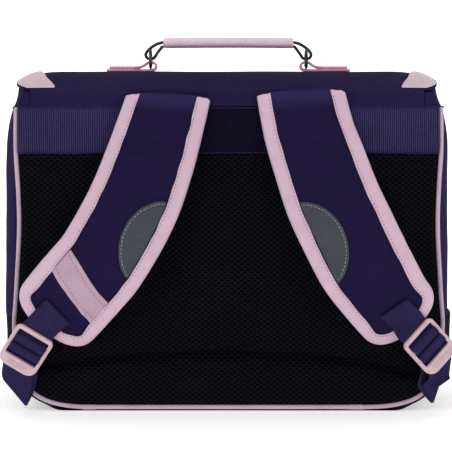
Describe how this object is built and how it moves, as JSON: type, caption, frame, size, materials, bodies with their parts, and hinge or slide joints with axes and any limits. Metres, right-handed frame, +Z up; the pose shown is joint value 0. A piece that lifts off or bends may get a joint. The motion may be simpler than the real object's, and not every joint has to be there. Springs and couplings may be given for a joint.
{
  "type": "school satchel",
  "caption": "Rectangular school satchel with a full front flap, padded mesh back, padded shoulder straps with buckles, pink piping and a swinging top handle",
  "frame": {"origin": "middle of the underside of the base, where the bag stands", "axes": "+Z up, +X across the bag, -Y out of the padded back that lies on the wearer, +Y out of the flap"},
  "size_m": [0.412, 0.2168, 0.3358],
  "materials": {
    "navy_cloth": "fine woven navy-purple cloth",
    "mesh": "black spacer mesh over foam",
    "black_cloth": "black coated cloth",
    "webbing": "ribbed navy webbing",
    "piping": "smooth pink binding tape",
    "leather": "grained pink imitation leather",
    "reflective": "grey reflective cloth",
    "pink_plastic": "smooth pink plastic",
    "dark_plastic": "black plastic",
    "dark_metal": "dark plated metal"
  },
  "bodies": {
    "bag": {"back_panel": "mesh", "back_band": "webbing", "front_panel": "navy_cloth", "base": "black_cloth", "flap": "navy_cloth", "piping": "piping", "strap_band_left": "leather", "side_left": "navy_cloth", "corner_patch_left": "leather", "handle_link_left": "dark_metal", "handle_tab_left": "leather", "strap_pad_left": "navy_cloth", "strap_binding_left": "piping", "reflector_left": "reflective", "pad_webbing_left": "webbing", "buckle_left": "pink_plastic", "lower_webbing_left": "webbing", "clasp_left": "dark_plastic", "side_right": "navy_cloth", "corner_patch_right": "leather", "handle_link_right": "dark_metal", "handle_tab_right": "leather", "strap_pad_right": "navy_cloth", "strap_binding_right": "piping", "reflector_right": "reflective", "pad_webbing_right": "webbing", "buckle_right": "pink_plastic", "lower_webbing_right": "webbing", "clasp_right": "dark_plastic"},
    "handle": {"handle_grip": "leather", "handle_ring_left": "dark_plastic", "handle_ring_right": "dark_plastic"}
  },
  "joints": [
    {"name": "handle_swing", "type": "hinge", "parent": "bag", "child": "handle", "pos_m": [0, 0, 0.3165], "axis": [1, 0, 0], "range_deg": [-80, 80]}
  ]
}
